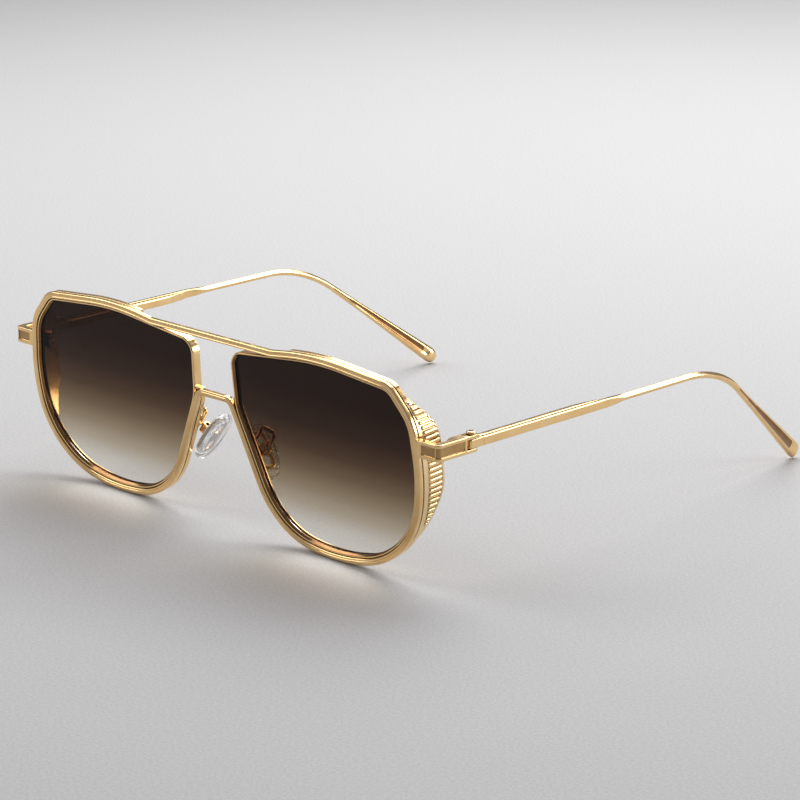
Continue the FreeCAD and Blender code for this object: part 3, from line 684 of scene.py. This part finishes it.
def build_lug(low, high):
    """One side of the fork: a plate with a round end, sunk a hair below the faces of the block."""
    near = HINGE.y - 2.6 - 0.12
    corners = [(69.91, near, 0.02), (OUTER_X - 0.01, near, 0.02), (OUTER_X - 0.01, HINGE.y + 1.4, 1.38),
               (69.91, HINGE.y + 1.4, 1.38)]
    return plate(trace(corners, 0.2), [circle(HINGE.x, HINGE.y, 0.66)], low + 0.012, high - 0.012, 0.09)


def in_painted_shade_recess(face):
    """Faces sunk between the rails, on the front and outer sides of the end piece, which take a darker satin
    tone that is partly painted shade.
    """
    middle = face.center / MM
    level = RAIL + 0.03 < middle.z - END_Z < END_TALL - RAIL - 0.03
    wall = HINGE.y - 2.6
    sunk = middle.y < FACE_Y + 1.5 or abs(middle.x) > OUTER_X - 0.8
    proud = abs(middle.x) > OUTER_X - 0.2 or middle.y < FACE_Y + 0.3
    inside = FACE_Y < middle.y < wall - 0.5 and abs(middle.x) > 67.3
    return level and sunk and not proud and inside


def build_end_piece():
    """Block with two polished rails and a recess between them, in a satin finish whose darker tone is painted
    shade, and the fork for the hinge.
    """
    front = FACE_Y + 0.12
    wall = HINGE.y - 2.6
    neck = wall - 3.0
    plan = trace([
        (65.6, front, 0.1), (OUTER_X, front, 1.3), (OUTER_X, wall, 0.15), (69.9, wall, 0.15),
        (69.9, neck, 1.2), (71.0, neck - 1.9, 1.6), (71.0, front + 1.7, 0.8), (65.6, front + 1.7, 0.1)], 0.12)
    rings = []
    for height, inset, share in end_levels():
        ring = []
        for point, normal in plan:
            facing = smooth(-normal.x, 0.2, 0.5) if normal.x < -0.2 else smooth(normal.y, 0.2, 0.5)
            ends = smooth(point.x, 67.3, 67.5) * (1 - smooth(point.y, wall - 0.65, wall - 0.5))
            spot = point + normal * (inset + RECESS * share * facing * ends)
            ring.append((spot.x, spot.y, END_Z + height))
        rings.append(ring)
    lugs = [build_lug(low, low + LUG) for low in (END_Z, END_Z + END_TALL - LUG)]
    # The recess between the rails gets the satin finish with painted shade in its darker colour.
    show_pair("end_piece", joined(skin(rings), *lugs), "front", "end_gold", ("satin_gold_painted_shade", in_painted_shade_recess))


def build_hinge_screw():
    turned = lathe([
        (0.02, 0.0), (0.6, 0.0), (0.65, 0.05), (0.65, 3.9), (1.06, 3.9), (1.14, 3.96), (1.15, 4.1), (1.15, 4.3),
        (1.1, 4.44), (0.98, 4.54), (0.7, 4.6), (0.02, 4.6)], 48)
    first = plate(box_outline(-0.78, -0.16, 0.78, 0.16, 0.08), [], 4.22, 5.0, 0.03)
    second = plate(box_outline(-0.16, -0.78, 0.16, 0.78, 0.08), [], 4.22, 5.0, 0.03)
    screw = carve(carve(turned, first), second)
    place = Matrix.Translation((HINGE.x, HINGE.y, END_Z))
    show_pair("hinge_screw", moved(screw, place), "front", "screw_gold")


def build_washers():
    """The CAD washers keep their own shape and get their finish."""
    for side in ("left", "right"):
        washer = frame["nodes"]["hinge_washers_" + side]
        washer.data.materials.clear()
        washer.data.materials.append(FINISH["washer_nylon"])


# ---------------------------------------------------------------- temples

BAR_TALL = 2.1
BAR_THICK = 1.15
STEM = 1.64
EAR_BEND = 35.0
EAR_CORNER = 96.5
TIP = Vector((63.07, FACE_Y + 138.63, 1.07))


def oval(wide, tall, power, count=48):
    """A superellipse, from a round section to a rounded bar."""
    shape = []
    for k in range(count):
        turn = 2 * math.pi * k / count
        c, s = math.cos(turn), math.sin(turn)
        x = wide / 2 * math.copysign(abs(c) ** (2 / power), c)
        y = tall / 2 * math.copysign(abs(s) ** (2 / power), s)
        shape.append((x, y))
    return shape


def build_knuckle():
    low, high = HINGE.y - 1.6, HINGE.y + 3.0
    plan = trace([(69.9, low, 0.5), (OUTER_X, low, 0.5), (OUTER_X - 0.05, high, 0.05), (69.9, high, 0.05)], 0.3)
    part = plate(plan, [circle(HINGE.x, HINGE.y, 0.7)], HINGE.z - 1.0, HINGE.z + 1.0, 0.1)
    show_pair("hinge_knuckle", part, "temple", "end_gold")


def build_liner():
    """Second bar along the inner face of the temple, drawn out to a fine curved tail."""
    start, end = HINGE.y + 2.7, FACE_Y + 54.5
    rings = []
    steps = 70
    for k in range(steps + 1):
        y = start + (end - start) * k / steps
        tail = max(0.0, (y - (end - 8.5)) / 8.5)
        inner = 69.9 + 0.95 * smooth(tail, 0.0, 1.3) / smooth(1.0, 0.0, 1.3)
        round_off = math.sqrt(max(1 - max((y - (end - 0.6)) / 0.62, 0.0) ** 2, 0.02))
        soft = 0.93 if k == 0 else 1.0
        tall = BAR_TALL * (1 - 0.1 * tail) * round_off * soft
        thick = (71.53 - inner) * soft
        middle = (71.53 + inner) / 2
        rings.append([(middle + u, y, HINGE.z + v) for u, v in oval(thick, tall, 7.0)])
    show_pair("temple_liner", skin(rings), "temple", "temple_gold")


def ear_line():
    """The stem's middle line as (point, direction, share of the last leg)."""
    x = OUTER_X - STEM / 2
    corner = Vector((x, FACE_Y + EAR_CORNER, HINGE.z))
    before, after = Vector((0, -1, 0)), (TIP - corner).normalized()
    half = before.angle(after) / 2
    reach = EAR_BEND / math.tan(half)
    start = corner + before * reach
    centre = corner + (before + after).normalized() * (EAR_BEND / math.sin(half))
    axis = (start - centre).cross(-before).normalized()
    turn = math.pi - 2 * half
    line = []
    first = HINGE.y + 2.7
    for k in range(150):
        line.append((Vector((x, first + (start.y - first) * k / 150, HINGE.z)), -before, 0.0))
    for k in range(60):
        way = Matrix.Rotation(turn * k / 60, 3, axis)
        line.append((centre + way @ (start - centre), way @ -before, 0.0))
    end = corner + after * reach
    for k in range(141):
        line.append((end.lerp(TIP, k / 140), after, k / 140))
    return line, (TIP - end).length


# Share of the last leg, width and thickness.
PADDLE = [
    (0.0, STEM, STEM), (0.28, 2.1, 1.72), (0.55, 2.95, 1.85),
    (0.8, 3.75, 2.0), (0.93, 4.1, 2.1), (1.0, 3.9, 2.1)]


def paddle_size(share):
    """Width and thickness of the paddle along the last leg, eased between its stations."""
    for (s0, w0, t0), (s1, w1, t1) in zip(PADDLE, PADDLE[1:]):
        if share <= s1:
            part = (share - s0) / (s1 - s0)
            return w0 + (w1 - w0) * part, t0 + (t1 - t0) * part
    return PADDLE[-1][1:]


def temple_ring(point, direction, share, length):
    """One section of the temple: bar, round stem or grooved paddle."""
    across = direction.cross(Vector((1, 0, 0))).normalized()
    side = across.cross(direction).normalized()
    y = point.y - FACE_Y
    stem = smooth(y, 55.5, 61.5)
    wide, thick = paddle_size(share)
    wide = BAR_TALL + (wide - BAR_TALL) * stem
    thick = BAR_THICK + (thick - BAR_THICK) * stem
    power = 9.0 + (2.0 - 9.0) * smooth(y, 56.5, 62.5)
    power = power + 0.5 * smooth(share, 0.2, 0.6)
    centre = point + Vector(((STEM - BAR_THICK) / 2 * (1 - stem), 0, 0))
    to_end = (1 - share) * length
    close = math.sqrt(max(1 - max(1 - to_end / 2.3, 0.0) ** 2, 0.0006))
    ridge = sum(math.exp(-((to_end - place) / 0.16) ** 2) for place in (3.2, 4.0, 4.8))
    groove = 0.3 * smooth(share, 0.02, 0.4) * smooth(to_end, 2.4, 5.0)
    ring = []
    for u, v in oval(wide * close, thick * close, power, 56):
        dent = groove * math.exp(-(u / (0.17 * wide + 0.1)) ** 4)
        lift = 0.06 * ridge * (share > 0.5)
        v = v - math.copysign(min(dent - lift, abs(v) * 0.8), v) if abs(v) > 1e-6 else v
        ring.append(centre + across * u + side * v)
    return ring


def build_temple():
    """Bar, stem and paddle in one skin, with dark bronze in the paddle's grooves as painted dark reflection."""
    line, length = ear_line()
    rings = [temple_ring(point, direction, share, length) for point, direction, share in line]
    tip, down = line[-1][:2]
    across = down.cross(Vector((1, 0, 0))).normalized()

    def in_painted_reflection_groove(face):
        spot = Vector((abs(face.center.x), face.center.y, face.center.z)) / MM - tip
        to_end = -spot.dot(down)
        share = 1 - to_end / length
        if not (0.0 < share and to_end > 5.2):
            return False
        aside = (spot + down * to_end).dot(across)
        round_end = math.sqrt(max(1 - max((6.6 - to_end) / 1.4, 0.0) ** 2, 0.0))
        return abs(aside) < paddle_size(share)[0] * (0.1 + 0.16 * smooth(share, 0.0, 0.5)) * round_end

    # The paddle's grooves get dark bronze as painted reflection.
    show_pair("temple_arm", skin(rings), "temple", "temple_gold", ("bronze_painted_reflection", in_painted_reflection_groove))


# ---------------------------------------------------------------- nose pads

PAD_HALF = 1.15


def build_nose_pad():
    """Clear pad: a soft oval with a raised lip round the pocket for its metal core."""
    shape = [
        (0.05, 0.03, -1.02), (3.2, 1.5, -1.05), (5.2, 2.6, -1.12), (6.2, 3.15, -1.1), (6.7, 3.5, -0.95),
        (7.05, 3.78, -0.6), (7.2, 3.9, -0.1), (7.15, 3.86, 0.45), (6.95, 3.7, 0.85), (6.6, 3.4, 1.08),
        (6.2, 3.1, 1.15), (5.85, 2.85, 1.08), (5.6, 2.65, 0.9), (5.45, 2.5, 0.6), (5.35, 2.42, 0.34),
        (0.05, 0.03, 0.34)]
    rings = []
    for long, wide, height in shape:
        power = 2.2 + 1.2 * smooth(height, 0.2, 1.0) * (long < 6.0)
        rings.append([(height, v, u) for u, v in oval(2 * long, 2 * wide, power, 64)])
    show_pair("nose_pad", moved(skin(rings), PAD), "pad", "pad_silicone")


def stand(part, order):
    """Turns a plate drawn in x and y so that its axes become the pad's."""
    return [tuple(point[axis] for axis in order) for point in part[0]], part[1]


def build_insert():
    """Gold core with two plain rounded windows, and the stalk that pivots in the box."""
    edge = box_outline(-2.1, -4.8, 2.1, 4.8, 1.3, 0.3)
    windows = [box_outline(-1.2, low, 1.2, low + 2.5, 0.9, 0.2) for low in (-3.9, 1.4)]
    core = stand(plate(edge, windows, 0.4, 0.95, 0.14), (2, 0, 1))
    reach = PAD_HALF + 1.2
    far = reach + 0.7
    tongue = trace([(0.7, -0.7, 0.1), (far, -0.7, 0.68), (far, 0.7, 0.68), (0.7, 0.7, 0.1)], 0.2)
    stalk = stand(plate(tongue, [circle(reach, 0.0, 0.4, 28)], -0.45, 0.45, 0.1), (0, 2, 1))
    show_pair("pad_insert", moved(joined(core, stalk), PAD), "pad", "wire_gold")


def build_pad_box():
    """Open channel that holds the pad's stalk, and its screw. Returns the middle of its back."""
    near, pin = PAD_HALF + 0.4, PAD_HALF + 1.2
    floor = pin + 0.95
    back = floor + 0.4
    channel = trace([
        (near, -0.93, 0.12), (back, -0.93, 0.25), (back, 0.93, 0.25), (near, 0.93, 0.12),
        (near, 0.53, 0.12), (floor, 0.53, 0.06), (floor, -0.53, 0.06), (near, -0.53, 0.12)], 0.3)
    box = plate(channel, [], -1.2, 1.2, 0.08)
    show_pair("pad_box", moved(box, PAD), "front", "wire_gold")
    turned = lathe([(0.02, -0.35), (0.42, -0.35), (0.55, -0.3), (0.6, -0.2), (0.6, -0.04), (0.56, 0.0),
                    (0.35, 0.0), (0.35, 1.9), (0.3, 1.96), (0.02, 1.96)], 32)
    slot = plate(box_outline(-0.9, -0.11, 0.9, 0.11, 0.04), [], -0.6, -0.18, 0.02)
    screw = stand(carve(turned, slot), (0, 2, 1))
    place = PAD @ Matrix.Translation((pin, -0.93, 0))
    show_pair("pad_screw", moved(screw, place), "front", "screw_gold")
    return PAD @ Vector((back, 0, 0))


def curve_through(points, steps):
    """A smooth line through points."""
    padded = [points[0] * 2 - points[1]] + points + [points[-1] * 2 - points[-2]]
    line = []
    for a, b, c, d in zip(padded, padded[1:], padded[2:], padded[3:]):
        for k in range(steps):
            t = k / steps
            line.append(0.5 * (2 * b + (c - a) * t + (2 * a - 5 * b + 4 * c - d) * t * t
                               + (3 * b - a - 3 * c + d) * t ** 3))
    return line + [points[-1]]


def tube(line, radii, count=24):
    """A round solid along a line, turned as little as possible from one ring to the next."""
    rings = []
    side = Vector((1, 0, 0))
    for k, point in enumerate(line):
        along = (line[min(k + 1, len(line) - 1)] - line[max(k - 1, 0)]).normalized()
        side = (side - along * side.dot(along)).normalized()
        up = along.cross(side)
        radius = radii(k / (len(line) - 1))
        turns = [2 * math.pi * j / count for j in range(count)]
        rings.append([point + (side * math.cos(a) + up * math.sin(a)) * radius for a in turns])
    return skin(rings)


def build_pad_arm(box_back):
    """Bent wire from a solder foot on the rim, up and over, down to the pad box."""
    root = LEAN @ Vector((9.7, 2.5, 22.6))
    into = (PAD.to_3x3() @ Vector((-1, 0, 0))).normalized()
    points = [
        root, root + Vector((0, 1.3, 0.15)), root + Vector((0.15, 2.5, 1.3)), root + Vector((0.5, 3.4, 2.7)),
        box_back - into * 1.5 + Vector((0, 0.5, 2.3)), box_back - into * 1.3 + Vector((0, 0.3, 0.7)),
        box_back + into * 0.1]
    wire = tube(curve_through(points, 8), lambda share: 0.5 + 0.35 * (1 - smooth(share, 0.0, 0.12)))
    show_pair("pad_arm", wire, "front", "wire_gold")


# ---------------------------------------------------------------- stage

def aim(item, place, target):
    item.location = place
    item.rotation_euler = (Vector(target) - Vector(place)).to_track_quat("-Z", "Y").to_euler()


def add_light(name, place, size, power, colour=(1, 1, 1)):
    """A soft round lamp aimed at the middle of the glasses."""
    lamp = bpy.data.lights.new(name, "AREA")
    lamp.shape = "DISK"
    lamp.size = size
    lamp.energy = power
    lamp.color = colour
    item = bpy.data.objects.new(name, lamp)
    bpy.context.scene.collection.objects.link(item)
    aim(item, place, (0, 0, 0.02))


def add_floor():
    mesh = bpy.data.meshes.new("floor")
    mesh.from_pydata([(-6, -6, 0), (6, -6, 0), (6, 6, 0), (-6, 6, 0)], [], [(0, 1, 2, 3)])
    floor = bpy.data.objects.new("floor", mesh)
    bpy.context.scene.collection.objects.link(floor)
    material, surface = new_finish("floor", {"Specular IOR Level": 0.2})
    stops = [(0.35, (0.50, 0.50, 0.51)), (0.65, (0.57, 0.57, 0.58))]
    tone = tinted(material, pattern(material, 1400.0, 3.0), stops)
    material.node_tree.links.new(tone, surface.inputs["Base Color"])
    surface.inputs["Roughness"].default_value = 0.7
    mesh.materials.append(material)


def add_world():
    world = bpy.data.worlds.new("studio")
    world.use_nodes = True
    world.node_tree.nodes["Background"].inputs["Color"].default_value = (0.6, 0.6, 0.62, 1)
    world.node_tree.nodes["Background"].inputs["Strength"].default_value = 0.42
    bpy.context.scene.world = world


CAMERA_PLACE = (0.5417, -0.5518, 0.2422)
CAMERA_TURN = (44.86, 16.27, -0.19)
CAMERA_LENS = 146.3


def add_camera():
    azimuth, elevation, roll = (math.radians(angle) for angle in CAMERA_TURN)
    back = Vector((math.sin(azimuth) * math.cos(elevation), -math.cos(azimuth) * math.cos(elevation),
                   math.sin(elevation)))
    right = Vector((math.cos(azimuth), math.sin(azimuth), 0))
    up = back.cross(right)
    lens = bpy.data.cameras.new("camera")
    lens.lens = CAMERA_LENS
    lens.sensor_width = 36.0
    camera = bpy.data.objects.new("camera", lens)
    bpy.context.scene.collection.objects.link(camera)
    turn = Matrix((right, up, back)).transposed().to_4x4()
    camera.matrix_world = Matrix.Translation(CAMERA_PLACE) @ turn @ Matrix.Rotation(roll, 4, "Z")
    bpy.context.scene.camera = camera


def build_all():
    build_front_wire()
    build_rim()
    build_lens()
    build_shield()
    build_locks()
    build_end_piece()
    build_hinge_screw()
    build_washers()
    build_knuckle()
    build_liner()
    build_temple()
    build_nose_pad()
    build_insert()
    box_back = build_pad_box()
    build_pad_arm(box_back)


build_all()
add_floor()
add_world()
add_camera()
add_light("key", (-0.25, 0.42, 0.62), 0.75, 6.0, (1.0, 0.98, 0.95))
add_light("side", (-0.63, -0.38, 0.56), 0.5, 2.2)
add_light("rear", (0.3, 0.66, 0.6), 0.4, 1.4)
add_light("low", (0.64, 0.62, 0.24), 0.46, 3.0)
bpy.context.scene.view_settings.view_transform = "Standard"
